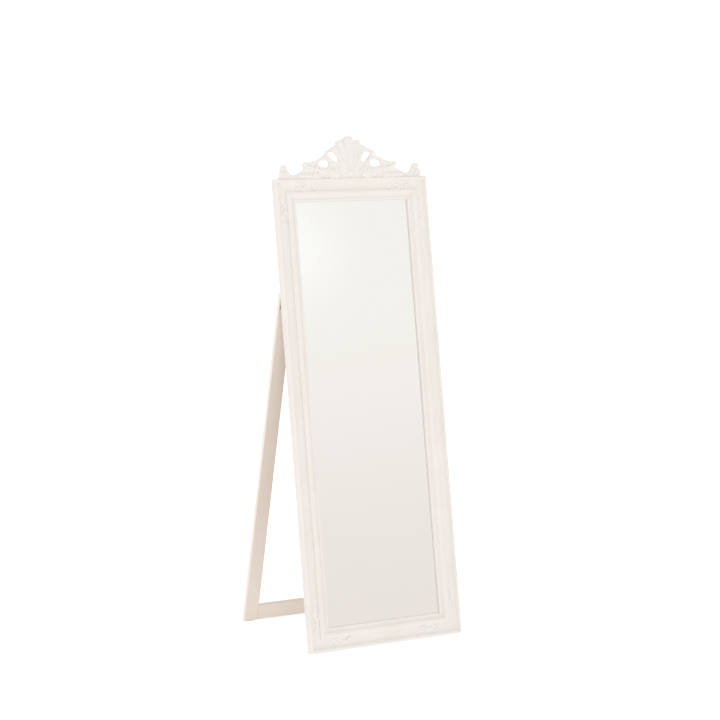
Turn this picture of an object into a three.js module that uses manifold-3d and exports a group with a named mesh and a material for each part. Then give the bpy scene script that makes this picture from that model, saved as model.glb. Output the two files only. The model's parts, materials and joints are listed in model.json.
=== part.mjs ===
// A full-length standing mirror in a painted, carved frame. Four mitred lengths of moulding
// hold the glass, a pierced shell crest stands on the top rail, and a leaf spray lies in the
// moulding's hollow at each end of each length. Two butt hinges join a rectangular back leg to
// the frame, and the leg folds flat. Millimetres. +X is to the right of a person who faces the
// glass, the glass faces -Y, and +Z is up. The origin is on the floor under the middle of the
// mirror's box.
import * as THREE from "three";
import { mergeVertices } from "three/addons/utils/BufferGeometryUtils.js";
import Module from "manifold-3d";

const wasm = await Module();
wasm.setup();
const degrees = THREE.MathUtils.degToRad;

// ---- Driving dimensions ----------------------------------------------------------------
const GAP = 0.3; // between pieces that touch
const OVERRUN = 1; // of a cutter, past the face that it cuts
const FAR = 900; // past every piece, for a cutter that takes off all on one side

const FRAME_WIDTH = 544;
const FRAME_HEIGHT = 1470; // without the crest
const FRAME_LEAN = degrees(9.3); // back from upright
const FOOT_BEVEL = 1.5; // how much of the frame's lower back edge is planed level

const MOULDING_WIDTH = 72;
const REBATE_WIDTH = 10;
const LIP_BACK = 8.9; // from the frame's back to the underside of the lip
const MOULDING_ARC_STEPS = 3;

const GLASS_THICKNESS = 3;
const BOARD_THICKNESS = 2.5;
const PANEL_PLAY = 1; // round the glass and the board, inside the rebate
const BOARD_BACK = 2.6; // from the frame's back to the board's back

const LEG_LEAN = degrees(14.03); // forward from upright, floor to hinge
const LEG_WIDTH = 544;
const BATTEN_WIDTH = 48;
const BATTEN_THICKNESS = 15;
const BATTEN_EDGE_RADIUS = 1.5;
const TENON = { length: 18, width: 28, thickness: 5 };
const MORTISE_LEAD = 5; // of the mortise's cutter, outside the upright
const LEG_SPARE = 10; // of an upright below the floor's level, before it is cut there
const BOTTOM_RAIL_RISE = 2; // of the bottom rail's top edge, for what its slanting foot loses

const HINGE_HEIGHT = 1089; // of the pins, up the frame's back
const HINGE_GAP = 8; // between the frame and the folded leg
const HINGE_LENGTH = 40;
const LEAF = { depth: 22, thickness: 1.6 };
const OUTER_KNUCKLE = 10; // its length
const KNUCKLE_RADIUS = 3.6;
const KNUCKLE_BORE = 2;
const PIN_RADIUS = 1.7;
const PIN_HEAD = { radius: 2.7, flat: 1.89, rim: 1.2, height: 1.4 };
const STOP_BEVEL = 6; // up the leg's front at its top, where it bears on the frame

const SCREW = { length: 12, head: 3.1, headDepth: 1.5, shank: 1.4, point: 2.5, sides: 10 };
const SCREW_SPREAD = 12; // along the hinge, between neighbours
const SCREW_STAGGER = 4; // across the leaf
const SCREW_DROP = 2; // of the row below the leaf's middle, clear of the knuckles

const GLIDE_HEIGHT = 2;
const GLIDE_LENGTH = 30;
const GLIDE_CORNER = 2;
const FRAME_GLIDE_DEPTH = 8;
const LEG_GLIDE_DEPTH = 12;

const CREST_BACK = 9; // from the frame's back
const CREST_PLATE = 11;
const CREST_FIELD = CREST_BACK + CREST_PLATE;
const CREST_FOOT = CREST_FIELD - 3; // where its carving starts, inside the plate

const LEG_OPEN = FRAME_LEAN + LEG_LEAN; // between the frame's back and the leg's front

// ---- Materials -------------------------------------------------------------------------
const finish = (color, roughness, metalness = 0) =>
  new THREE.MeshStandardMaterial({ color, roughness, metalness });
const paint = () => finish("#f1e9e3", 0.5);
const gesso = () => finish("#f3ece7", 0.55);
const legPaint = () => finish("#eaded1", 0.55);
const silveredGlass = () => finish("#eef0ee", 0.03, 1);
const hardboard = () => finish("#9c7a55", 0.85);
const zincSteel = () => finish("#c2c4c6", 0.35, 1);
const beech = () => finish("#d8bb90", 0.7);
const felt = () => finish("#d9d2c8", 0.95);

// ---- Solids ----------------------------------------------------------------------------
function solidFrom(geometry) {
  const whole = geometry.index ? geometry.toNonIndexed() : geometry;
  const bare = new THREE.BufferGeometry();
  bare.setAttribute("position", whole.getAttribute("position"));
  const merged = mergeVertices(bare, 1e-4);
  return new wasm.Manifold(
    new wasm.Mesh({
      numProp: 3,
      vertProperties: merged.getAttribute("position").array,
      triVerts: new Uint32Array(merged.index.array),
    }),
  );
}

function geometryFrom(solid) {
  const { vertProperties, triVerts } = solid.getMesh();
  const geometry = new THREE.BufferGeometry();
  geometry.setAttribute("position", new THREE.BufferAttribute(vertProperties, 3));
  geometry.setIndex(new THREE.BufferAttribute(triVerts, 1));
  const flat = geometry.toNonIndexed();
  flat.computeVertexNormals();
  return flat;
}

const join = (geometries) =>
  geometryFrom(geometries.map(solidFrom).reduce((whole, piece) => whole.add(piece)));

const cut = (geometry, cutters) =>
  geometryFrom(cutters.map(solidFrom).reduce((left, tool) => left.subtract(tool), solidFrom(geometry)));

function moved(geometry, [x, y, z], [turnX, turnY, turnZ] = [0, 0, 0]) {
  const turn = new THREE.Matrix4().makeRotationFromEuler(new THREE.Euler(turnX, turnY, turnZ));
  return geometry.clone().applyMatrix4(turn.setPosition(x, y, z));
}

// A box from its lowest to its highest corner.
function boxBetween([x0, y0, z0], [x1, y1, z1]) {
  const box = new THREE.BoxGeometry(x1 - x0, y1 - y0, z1 - z0);
  return box.translate((x0 + x1) / 2, (y0 + y1) / 2, (z0 + z1) / 2);
}

const ROUND_SIDES = 16;

const rodAlongX = (radius, length) =>
  new THREE.CylinderGeometry(radius, radius, length, ROUND_SIDES).rotateZ(Math.PI / 2);

function piece(name, geometry, material, position = [0, 0, 0], rotation = [0, 0, 0]) {
  const mesh = new THREE.Mesh(geometry, material);
  mesh.name = name;
  mesh.position.set(...position);
  mesh.rotation.set(...rotation);
  return mesh;
}

// ---- Moulding --------------------------------------------------------------------------
// The section lies in the XY plane: u runs inwards from the outer edge, and v runs forwards
// from the frame's back, so a point (u, v) is drawn at (u, -v).
const at = (u, v) => [u, -v];

function mouldingSection() {
  const wood = MOULDING_WIDTH - REBATE_WIDTH;
  const section = new THREE.Shape();
  section.moveTo(...at(0, 0));
  section.lineTo(...at(0, 21)); // outer side
  section.bezierCurveTo(...at(0, 25), ...at(2, 27.5), ...at(5, 27.5)); // outer bead
  section.bezierCurveTo(...at(8, 27.5), ...at(9.6, 26.4), ...at(9.8, 24.6));
  section.lineTo(...at(9.8, 23.2)); // quirk
  section.lineTo(...at(11.5, 23.2));
  section.bezierCurveTo(...at(13.5, 16), ...at(24, 13.4), ...at(38.5, 14.6)); // cove
  section.lineTo(...at(38.5, 19)); // step up to the band
  section.quadraticCurveTo(...at(38.8, 22.3), ...at(41.5, 22.6));
  section.quadraticCurveTo(...at(48.5, 25.4), ...at(55.5, 21.6)); // crowned band
  section.quadraticCurveTo(...at(57.5, 14.4), ...at(63, 13.2)); // hollow down to the lip
  section.bezierCurveTo(...at(63.4, 15.6), ...at(65, 17), ...at(67.4, 17)); // lip bead
  section.bezierCurveTo(...at(70, 17), ...at(MOULDING_WIDTH, 15.2), ...at(MOULDING_WIDTH, 12.6));
  section.lineTo(...at(MOULDING_WIDTH, LIP_BACK)); // rebate
  section.lineTo(...at(wood, LIP_BACK));
  section.lineTo(...at(wood, 0));
  return section;
}

const SECTION = mouldingSection().getPoints(MOULDING_ARC_STEPS);

// A closed outline, drawn anticlockwise, moved outwards by the same distance all round.
function grown(outline, distance) {
  const outward = outline.map((point, i) => {
    const edge = outline[(i + 1) % outline.length].clone().sub(point).normalize();
    return new THREE.Vector2(edge.y, -edge.x);
  });
  return outline.map((point, i) => {
    const [before, after] = [outward.at(i - 1), outward[i]];
    const corner = before.clone().add(after).multiplyScalar(distance / (1 + before.dot(after)));
    return corner.add(point);
  });
}

// A length of moulding along +Z with both ends mitred inwards, its outer edge on x = 0.
function mouldingLength(length, outline = SECTION, mitreGap = GAP / 2) {
  const section = new THREE.Shape(outline);
  const geometry = new THREE.ExtrudeGeometry(section, { depth: length, bevelEnabled: false });
  const point = geometry.getAttribute("position");
  for (let i = 0; i < point.count; i += 1) {
    const inset = point.getX(i) + mitreGap * Math.SQRT2;
    point.setZ(i, point.getZ(i) > length / 2 ? length - inset : inset);
  }
  return geometry;
}

// The frame's four sides, in turn round the glass. Each is the left-hand upright turned by
// quarter turns in the plane of the glass. corner is where it starts, and ends names its two
// ends, from there.
const SIDES = [
  { side: "stile_left", corner: "bottom_left", ends: ["lower", "upper"], length: FRAME_HEIGHT },
  { side: "rail_top", corner: "top_left", ends: ["left", "right"], length: FRAME_WIDTH },
  { side: "stile_right", corner: "top_right", ends: ["upper", "lower"], length: FRAME_HEIGHT },
  { side: "rail_bottom", corner: "bottom_right", ends: ["right", "left"], length: FRAME_WIDTH },
].map((place, k) => ({
  ...place,
  position: [(k < 2 ? -FRAME_WIDTH : FRAME_WIDTH) / 2, 0, k % 3 ? FRAME_HEIGHT : 0],
  rotation: [0, (k * Math.PI) / 2, 0],
}));

// ---- Carved relief ---------------------------------------------------------------------
// A carved rib: a domed strip along a path in the XZ plane. Each station is
// [x, z, half width, crown], the crown being how far forward of the back the ridge stands.
const DOME_STEPS = 3;
const KEEL_STEPS = 2; // round a leaflet, which has a sharp ridge
const RIB_STEPS = 5;
const SHOULDER = 0.45; // how much of its height a rib's side rises upright

function rib(stations, foot, domeSteps = DOME_STEPS) {
  const path = new THREE.CatmullRomCurve3(stations.map(([x, z]) => new THREE.Vector3(x, 0, z)));
  const form = new THREE.CatmullRomCurve3(
    stations.map(([, , half, crown]) => new THREE.Vector3(half, crown, 0)),
  );
  const ring = domeSteps + 3;
  const points = [];
  for (let i = 0; i <= RIB_STEPS; i += 1) {
    const t = i / RIB_STEPS;
    const centre = path.getPoint(t);
    const along = path.getTangent(t);
    const across = new THREE.Vector3(along.z, 0, -along.x);
    const { x: half, y: crown } = form.getPoint(t);
    const shoulder = foot + (crown - foot) * SHOULDER;
    points.push(centre.x + across.x * half, -foot, centre.z + across.z * half);
    for (let j = 0; j <= domeSteps; j += 1) {
      const turn = (j / domeSteps) * Math.PI;
      const side = half * Math.cos(turn);
      const height = shoulder + (crown - shoulder) * Math.sin(turn);
      points.push(centre.x + across.x * side, -height, centre.z + across.z * side);
    }
    points.push(centre.x - across.x * half, -foot, centre.z - across.z * half);
  }
  const faces = [];
  for (let i = 0; i < RIB_STEPS; i += 1) {
    for (let j = 0; j < ring; j += 1) {
      const a = i * ring + j;
      const b = i * ring + ((j + 1) % ring);
      faces.push(a, a + ring, b, b, a + ring, b + ring);
    }
  }
  const last = RIB_STEPS * ring;
  for (let j = 1; j < ring - 1; j += 1) {
    faces.push(0, j, j + 1);
    faces.push(last, last + j + 1, last + j);
  }
  const geometry = new THREE.BufferGeometry();
  geometry.setAttribute("position", new THREE.BufferAttribute(new Float32Array(points), 3));
  geometry.setIndex(faces);
  return geometry;
}

// A lobe: a rib that widens from its root and ends in a round tip. Each end is
// [x, z, half width, crown].
const LOBE_STATIONS = [0, 0.35, 0.7, 0.9, 0.98];
const LOBE_ROUND_FROM = 0.7;

function lobe(root, tip, foot) {
  const stations = LOBE_STATIONS.map((t) => {
    const [x, z, half, crown] = root.map((value, i) => value + (tip[i] - value) * t);
    const past = Math.max(0, (t - LOBE_ROUND_FROM) / (1 - LOBE_ROUND_FROM));
    return [x, z, half * Math.sqrt(1 - past ** 2), crown];
  });
  return rib(stations, foot);
}

const BOSS_SIDES = 10;
const BOSS_RINGS = [0, 0.3, 0.6, 0.85];

function boss([x, z, radius, crown], foot) {
  const rise = crown - foot;
  const dome = BOSS_RINGS.map((t) => {
    const angle = (t * Math.PI) / 2;
    return new THREE.Vector2(radius * Math.cos(angle), rise * Math.sin(angle));
  });
  const profile = [new THREE.Vector2(0, 0), ...dome, new THREE.Vector2(0, rise)];
  const button = new THREE.LatheGeometry(profile, BOSS_SIDES);
  return button.rotateX(Math.PI).translate(x, -foot, z);
}

const mirrored = (stations) => stations.map(([x, ...rest]) => [-x, ...rest]);

// A leaf spray, drawn on the left-hand upright from its lower end: a scroll in the hollow of
// the moulding with leaflets on both sides. Its first number is the distance from the outer
// edge, and its second the distance up from the corner.
const SPRAY_FOOT = 11;
const SPRAY_SCROLL = [
  [33, 80, 4, 22.5],
  [34, 92, 5, 23.5],
  [27, 108, 5, 23.5],
  [24, 124, 4.6, 23],
  [27, 138, 4, 23],
  [34, 144, 3, 22.5],
];
const SPRAY_LEAFLETS = [
  [[32, 86, 2, 21.5], [26, 73, 4, 22], [24, 60, 1, 19.5]],
  [[33, 86, 2, 22], [38, 74, 3.6, 23], [37.5, 64, 1, 20]],
  [[30, 86, 2.4, 22], [21, 94, 4, 22.5], [15.5, 106, 1.2, 20]],
  [[33, 94, 2.4, 22.5], [36.5, 108, 4, 23], [37, 122, 1.2, 20.5]],
  [[25, 110, 2.4, 22], [18, 122, 3.8, 22], [17.5, 138, 1.2, 19]],
  [[27, 136, 2.4, 22], [22, 149, 3.2, 21.5], [27, 162, 1, 18.5]],
];
const SPRAY_EYE = [32, 140, 5, 23.5];
const SEAT_LENGTH = 400; // of moulding, past the spray's far end

// The spray for a side's start, or with way -1 the one for its end, where it is mirrored.
function spray(way) {
  const placed = (stations) => stations.map(([x, z, ...rest]) => [x, way * z, ...rest]);
  const [eye] = placed([SPRAY_EYE]);
  const carving = join([
    rib(placed(SPRAY_SCROLL), SPRAY_FOOT),
    ...SPRAY_LEAFLETS.map((stations) => rib(placed(stations), SPRAY_FOOT, KEEL_STEPS)),
    boss(eye, SPRAY_FOOT),
  ]);
  const seat = mouldingLength(SEAT_LENGTH, grown(SECTION, GAP), 0);
  return cut(carving, [seat.translate(0, 0, way < 0 ? -SEAT_LENGTH : 0)]);
}

// ---- Crest -----------------------------------------------------------------------------
// Drawn in its own plane: x from the middle of the frame, z from the top of the top rail.
// The right-hand half of the outline, from the foot of the end finial up to the shell's top.
const CREST_OUTLINE = [
  [256, 0], [254, 13], [250, 24], [250, 34], [243, 43], [232, 44], [221, 36], [212, 24],
  [203, 16], [190, 18], [172, 27], [163, 34], [169, 42], [163, 49], [152, 46], [139, 50],
  [125, 54], [111, 60], [97, 68], [88, 75], [87, 83], [79, 87], [67, 92], [60, 99],
  [50, 103], [45, 108], [44, 116], [34, 121], [22, 119], [18, 122], [15, 130], [0, 133],
];
const SHELL_SIDE_OPENING = [
  [40, 54], [39, 67], [49, 80], [63, 83], [76, 81], [77, 73], [66, 62], [54, 53],
];
const SCROLL_OPENING = [
  [73, 50], [82, 57], [94, 58], [108, 52], [115, 42], [110, 34], [90, 32], [76, 39],
];
// The right-hand half of the shell, root and tip of each lobe, and the boss at its root.
const SHELL_LOBES = [
  { root: [0, 16, 4, 23], tip: [0, 131, 17, 27.5] },
  { root: [7, 16, 4, 23], tip: [36, 119, 12.5, 27] },
  { root: [13, 16, 4, 23], tip: [57, 99, 10.5, 26] },
];
const SHELL_BOSS = [0, 18, 14, 27];
const CREST_SCROLLS = [
  [[52, 86, 4, 24], [68, 88, 4.5, 25], [80, 83, 4.5, 25], [83, 77, 4, 25]],
  [[40, 24, 6, 25], [56, 38, 7, 25], [70, 54, 6, 24], [82, 66, 5, 24]],
  [[82, 70, 5, 24], [100, 62, 5, 25], [120, 49, 6, 25], [142, 42, 7, 25], [163, 43, 5, 26]],
  [[30, 10, 8, 25], [64, 16, 8, 25], [100, 22, 7, 24], [136, 30, 8, 24], [156, 38, 4, 23]],
  [[110, 8, 6, 24], [150, 16, 7, 24], [184, 12, 5, 23], [204, 7, 4, 22]],
  [[214, 6, 6, 23], [226, 18, 8, 25], [236, 32, 9, 26], [241, 36, 6, 25]],
  [[250, 5, 4, 23], [245, 16, 5, 24], [240, 28, 4, 24]],
];
const DOWEL = { x: 120, radius: 4, length: 24, sides: 14 };
const DOWEL_Y = -CREST_BACK - CREST_PLATE / 2;
const OUTLINE_STEPS = 40; // round half of the crest
const OPENING_STEPS = 11; // round an opening

const planePoints = (points) => points.map(([x, z]) => new THREE.Vector2(x, z));

function closedCurve(points) {
  const curve = new THREE.SplineCurve(planePoints([...points, points[0]]));
  return curve.getPoints(OPENING_STEPS).slice(0, -1);
}

function crestPlate() {
  const half = new THREE.SplineCurve(planePoints(CREST_OUTLINE)).getPoints(OUTLINE_STEPS);
  const left = half.slice(0, -1).reverse().map(({ x, y }) => new THREE.Vector2(-x, y));
  const plate = new THREE.Shape([...half, ...left]);
  for (const opening of [SHELL_SIDE_OPENING, SCROLL_OPENING]) {
    plate.holes.push(new THREE.Path(closedCurve(opening)));
    plate.holes.push(new THREE.Path(closedCurve(mirrored(opening))));
  }
  const solid = new THREE.ExtrudeGeometry(plate, { depth: CREST_PLATE, bevelEnabled: false });
  return solid.rotateX(Math.PI / 2).translate(0, -CREST_BACK, 0);
}

function crestCarving() {
  const [middle, ...beside] = SHELL_LOBES.map(({ root, tip }) => [root, tip]);
  const pairs = [middle, ...beside, ...beside.map(mirrored)];
  const lobes = pairs.map(([root, tip]) => lobe(root, tip, CREST_FOOT));
  const runs = [...CREST_SCROLLS, ...CREST_SCROLLS.map(mirrored)];
  const scrolls = runs.map((stations) => rib(stations, CREST_FOOT));
  return [...lobes, ...scrolls, boss(SHELL_BOSS, CREST_FOOT)];
}

function dowelHole(x, z) {
  const radius = DOWEL.radius + GAP;
  const hole = new THREE.CylinderGeometry(radius, radius, DOWEL.length + 2 * GAP, ROUND_SIDES);
  return hole.rotateX(Math.PI / 2).translate(x, DOWEL_Y, z);
}

function crest() {
  const belowRailTop = boxBetween([-FAR, -FAR, -FAR], [FAR, FAR, GAP]);
  const tools = [belowRailTop, dowelHole(-DOWEL.x, 0), dowelHole(DOWEL.x, 0)];
  return cut(join([crestPlate(), ...crestCarving()]), tools);
}

// ---- Fastenings ------------------------------------------------------------------------
// A countersunk wood screw down -Y, its head's face at y = 0, or with growth the cutter for
// its hole.
function screw(growth = 0) {
  const { length, head, headDepth, shank, point } = SCREW;
  const profile = [
    [0, -length - growth],
    [shank + growth, point - length],
    [shank + growth, -headDepth - growth],
    [head + growth, 0],
  ];
  if (growth) profile.push([head + growth, growth]);
  profile.push([0, growth]);
  return new THREE.LatheGeometry(planePoints(profile), SCREW.sides);
}

const SCREW_PLACES = [-1, 0, 1].map((k) => ({
  x: k * SCREW_SPREAD,
  z: -LEAF.depth / 2 - SCREW_DROP + (k ? -SCREW_STAGGER : SCREW_STAGGER),
}));

// A V-shaped steel wedge driven into the back of a mitre, its point on the mitre line.
const WEDGE = { arm: 8, thickness: 0.9, depth: 9, inset: 27 };

function mitreWedge(growth = 0) {
  const half = WEDGE.thickness / 2 + growth;
  const back = growth ? OVERRUN : 0;
  const arm = boxBetween([-half, -WEDGE.depth - growth, -half], [half, back, WEDGE.arm + growth]);
  return join([arm, moved(arm, [0, 0, 0], [0, -Math.PI / 2, 0])]);
}

// A flat steel point pushed into the wall of the rebate, over the backing board. Drawn for
// the left-hand upright: it runs along Z, and its tail is in the wood.
const POINT = { length: 16, reach: 9, tail: 5, thickness: 0.8, corner: 3 };
const POINT_WALL = MOULDING_WIDTH - REBATE_WIDTH;

function glazierPoint() {
  const { length, reach, tail, corner } = POINT;
  const half = length / 2;
  const outline = new THREE.Shape();
  outline.moveTo(-tail, -half);
  outline.lineTo(reach - corner, -half);
  outline.quadraticCurveTo(reach, -half, reach, corner - half);
  outline.lineTo(reach, half - corner);
  outline.quadraticCurveTo(reach, half, reach - corner, half);
  outline.lineTo(-tail, half);
  const plate = new THREE.ExtrudeGeometry(outline, {
    depth: POINT.thickness,
    bevelEnabled: false,
    curveSegments: 2,
  });
  return plate.rotateX(Math.PI / 2).translate(0, -BOARD_BACK + POINT.thickness + GAP, 0);
}

const pointSlot = () =>
  boxBetween(
    [-POINT.tail - GAP, -BOARD_BACK, -POINT.length / 2 - GAP],
    [OVERRUN, -BOARD_BACK + POINT.thickness + 2 * GAP, POINT.length / 2 + GAP],
  );

const POINTS_PER_LENGTH = { [FRAME_HEIGHT]: 3, [FRAME_WIDTH]: 1 };

function pointHeights(length) {
  const count = POINTS_PER_LENGTH[length];
  return Array.from({ length: count }, (_, i) => (length * (i + 1)) / (count + 1));
}

// ---- The frame's four sides, cut for all that they hold ---------------------------------
const HINGE_X = FRAME_WIDTH / 2 - BATTEN_WIDTH / 2;

function levelFoot() {
  const below = boxBetween([-FAR, -FAR, -FAR], [FAR, FAR, FOOT_BEVEL]);
  return below.rotateX(FRAME_LEAN);
}

function sideGeometry({ length, position, rotation }) {
  const toFrame = (geometry) => moved(geometry, position, rotation);
  const tools = [levelFoot(), dowelHole(-DOWEL.x, FRAME_HEIGHT), dowelHole(DOWEL.x, FRAME_HEIGHT)];
  for (const hand of [-1, 1]) {
    for (const { x, z } of SCREW_PLACES) {
      tools.push(screw(GAP).translate(hand * HINGE_X + x, GAP + LEAF.thickness, HINGE_HEIGHT + z));
    }
  }
  for (const place of SIDES) {
    const wedge = mitreWedge(GAP).translate(WEDGE.inset, 0, WEDGE.inset);
    tools.push(moved(wedge, place.position, place.rotation));
  }
  for (const height of pointHeights(length)) {
    tools.push(toFrame(pointSlot().translate(POINT_WALL, 0, height)));
  }
  return cut(toFrame(mouldingLength(length)), tools);
}

// ---- Hinges ----------------------------------------------------------------------------
// Drawn about the pin, which lies along X. The frame's leaf hangs down the frame's back with
// two outer knuckles, and the leg's leaf hangs down the leg's front with the middle one.
const MIDDLE_KNUCKLE = HINGE_LENGTH - 2 * OUTER_KNUCKLE - 2 * GAP;
const LEAF_FACE = HINGE_GAP / 2 - GAP; // from the pin to a leaf's seat

function hingeLeaf(onFrame) {
  const side = onFrame ? -1 : 1;
  const seat = side * LEAF_FACE;
  const inner = side * (LEAF_FACE - LEAF.thickness);
  const plate = boxBetween(
    [-HINGE_LENGTH / 2, Math.min(seat, inner), -LEAF.depth],
    [HINGE_LENGTH / 2, Math.max(seat, inner), 0],
  );
  const outerX = (HINGE_LENGTH - OUTER_KNUCKLE) / 2;
  const outer = [-outerX, outerX].map((x) => ({ x, length: OUTER_KNUCKLE }));
  const middle = [{ x: 0, length: MIDDLE_KNUCKLE }];
  const own = onFrame ? outer : middle;
  const other = onFrame ? middle : outer;
  const rod = ({ x, length }, growth) =>
    rodAlongX(KNUCKLE_RADIUS + growth, length + growth).translate(x, 0, 0);
  const knuckles = own.map((place) => rod(place, 0));
  const clearances = other.map((place) => rod(place, 2 * GAP));
  const holes = SCREW_PLACES.map(({ x, z }) =>
    moved(screw(GAP / 2), [x, inner, z], [onFrame ? 0 : Math.PI, 0, 0]),
  );
  const bore = rodAlongX(KNUCKLE_BORE, HINGE_LENGTH + 2 * OVERRUN);
  return cut(join([plate, ...knuckles]), [bore, ...clearances, ...holes]);
}

function hingePin() {
  const { radius, flat, rim, height } = PIN_HEAD;
  const end = HINGE_LENGTH / 2 + GAP;
  const profile = [
    [0, -end - height],
    [flat, -end - rim],
    [radius, -end],
    [PIN_RADIUS, -end],
    [PIN_RADIUS, end],
    [radius, end],
    [flat, end + rim],
    [0, end + height],
  ];
  return new THREE.LatheGeometry(planePoints(profile), ROUND_SIDES).rotateZ(Math.PI / 2);
}

// ---- Leg -------------------------------------------------------------------------------
// Drawn about the hinge pins with the leg hanging straight down, its front facing -Y.
const HALF_GAP = HINGE_GAP / 2;
const LEG_ABOVE =
  (HALF_GAP * (1 + Math.cos(LEG_OPEN)) - GAP) / Math.sin(LEG_OPEN) + STOP_BEVEL;
const PIN_RISE =
  HINGE_HEIGHT * Math.cos(FRAME_LEAN) - HALF_GAP * Math.sin(FRAME_LEAN) - FOOT_BEVEL;
const LEG_BELOW = (PIN_RISE + LEG_SPARE) / Math.cos(LEG_LEAN);

// A batten with rounded long edges, between two heights along Z, centred on x = 0.
function batten(bottom, top) {
  const [w, t, r] = [BATTEN_WIDTH / 2, BATTEN_THICKNESS, BATTEN_EDGE_RADIUS];
  const section = new THREE.Shape();
  section.moveTo(-w + r, 0);
  section.lineTo(w - r, 0);
  section.absarc(w - r, r, r, -Math.PI / 2, 0);
  section.absarc(w - r, t - r, r, 0, Math.PI / 2);
  section.absarc(-w + r, t - r, r, Math.PI / 2, Math.PI);
  section.absarc(-w + r, r, r, Math.PI, 1.5 * Math.PI);
  const stick = new THREE.ExtrudeGeometry(section, {
    depth: top - bottom,
    bevelEnabled: false,
    curveSegments: 3,
  });
  return stick.translate(0, HALF_GAP, bottom);
}

// The frame's back and the floor, as they lie about the pins when the leg is open.
function legTrims() {
  const back = boxBetween([-FAR, -FAR, -FAR], [FAR, -HALF_GAP + GAP, FAR]);
  const floor = boxBetween([-FAR, -FAR, -FAR], [FAR, FAR, 0]).translate(0, 0, -PIN_RISE);
  return [back.rotateX(-LEG_OPEN), floor.rotateX(-LEG_LEAN)];
}

const TENON_MID = HALF_GAP + BATTEN_THICKNESS / 2;

function tenon(x0, x1, z, growth = 0) {
  return boxBetween(
    [x0, TENON_MID - TENON.thickness / 2 - growth, z - TENON.width / 2 - growth],
    [x1, TENON_MID + TENON.thickness / 2 + growth, z + TENON.width / 2 + growth],
  );
}

const LEG_INSIDE = LEG_WIDTH / 2 - BATTEN_WIDTH; // half the space between the uprights
const BOTTOM_RAIL_TOP = BATTEN_WIDTH + BOTTOM_RAIL_RISE - PIN_RISE / Math.cos(LEG_LEAN);
const RAIL_HEIGHTS = {
  leg_rail_top: [LEG_ABOVE - BATTEN_WIDTH, LEG_ABOVE],
  leg_rail_bottom: [-LEG_BELOW, BOTTOM_RAIL_TOP],
};
const railMiddle = ([bottom, top], name) =>
  name === "leg_rail_bottom" ? top - BATTEN_WIDTH / 2 : (bottom + top) / 2;

function legStile(hand) {
  const x = (hand * (LEG_WIDTH - BATTEN_WIDTH)) / 2;
  const mouth = hand * (LEG_INSIDE - MORTISE_LEAD);
  const end = hand * (LEG_INSIDE + TENON.length + GAP);
  const tools = legTrims();
  for (const [name, heights] of Object.entries(RAIL_HEIGHTS)) {
    const z = railMiddle(heights, name);
    tools.push(tenon(Math.min(mouth, end), Math.max(mouth, end), z, GAP));
  }
  for (const place of SCREW_PLACES) {
    const pilotAt = [x + place.x, HALF_GAP - GAP - LEAF.thickness, place.z];
    tools.push(moved(screw(GAP), pilotAt, [Math.PI, 0, 0]));
  }
  return cut(batten(-LEG_BELOW, LEG_ABOVE).translate(x, 0, 0), tools);
}

function legRail(name) {
  const [bottom, top] = RAIL_HEIGHTS[name];
  const half = LEG_INSIDE - GAP;
  const bar = boxBetween([-half, HALF_GAP, bottom], [half, HALF_GAP + BATTEN_THICKNESS, top]);
  const reach = LEG_INSIDE + TENON.length;
  return cut(join([bar, tenon(-reach, reach, railMiddle([bottom, top], name))]), legTrims());
}

// ---- Glides ----------------------------------------------------------------------------
function glide(depth) {
  const [x, y, r] = [GLIDE_LENGTH / 2, depth / 2, GLIDE_CORNER];
  const pad = new THREE.Shape();
  pad.moveTo(-x + r, -y);
  pad.absarc(x - r, -y + r, r, -Math.PI / 2, 0);
  pad.absarc(x - r, y - r, r, 0, Math.PI / 2);
  pad.absarc(-x + r, y - r, r, Math.PI / 2, Math.PI);
  pad.absarc(-x + r, -y + r, r, Math.PI, 1.5 * Math.PI);
  return new THREE.ExtrudeGeometry(pad, {
    depth: GLIDE_HEIGHT - GAP,
    bevelEnabled: false,
    curveSegments: 2,
  });
}

// ---- Assembly --------------------------------------------------------------------------
// The frame stands in its own group: x across, y back from its back face, z up along it.
const frame = new THREE.Group();
frame.rotation.x = -FRAME_LEAN;
frame.position.z = GLIDE_HEIGHT - FOOT_BEVEL;

for (const place of SIDES) {
  frame.add(piece(place.side, sideGeometry(place), paint()));
}
frame.add(piece("crest", crest(), gesso(), [0, 0, FRAME_HEIGHT]));

const inside = { width: FRAME_WIDTH - 2 * POINT_WALL, height: FRAME_HEIGHT - 2 * POINT_WALL };
const panel = (thickness) =>
  new THREE.BoxGeometry(inside.width - 2 * PANEL_PLAY, thickness, inside.height - 2 * PANEL_PLAY);
const glassY = -LIP_BACK + GAP + GLASS_THICKNESS / 2;
const boardY = -BOARD_BACK - BOARD_THICKNESS / 2;
frame.add(piece("mirror_glass", panel(GLASS_THICKNESS), silveredGlass(), [0, glassY, FRAME_HEIGHT / 2]));
frame.add(piece("backing_board", panel(BOARD_THICKNESS), hardboard(), [0, boardY, FRAME_HEIGHT / 2]));

for (const { side, corner, ends, length, position, rotation } of SIDES) {
  const place = new THREE.Group();
  place.position.set(...position);
  place.rotation.set(...rotation);
  const wedgeAt = [WEDGE.inset, 0, WEDGE.inset];
  place.add(piece(`mitre_wedge_${corner}`, mitreWedge(), zincSteel(), wedgeAt));
  place.add(piece(`spray_${side}_${ends[0]}`, spray(1), gesso()));
  place.add(piece(`spray_${side}_${ends[1]}`, spray(-1), gesso(), [0, 0, length]));
  pointHeights(length).forEach((height, i) => {
    const pointAt = [POINT_WALL, 0, height];
    place.add(piece(`glazier_point_${side}_${i + 1}`, glazierPoint(), zincSteel(), pointAt));
  });
  frame.add(place);
}

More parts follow.
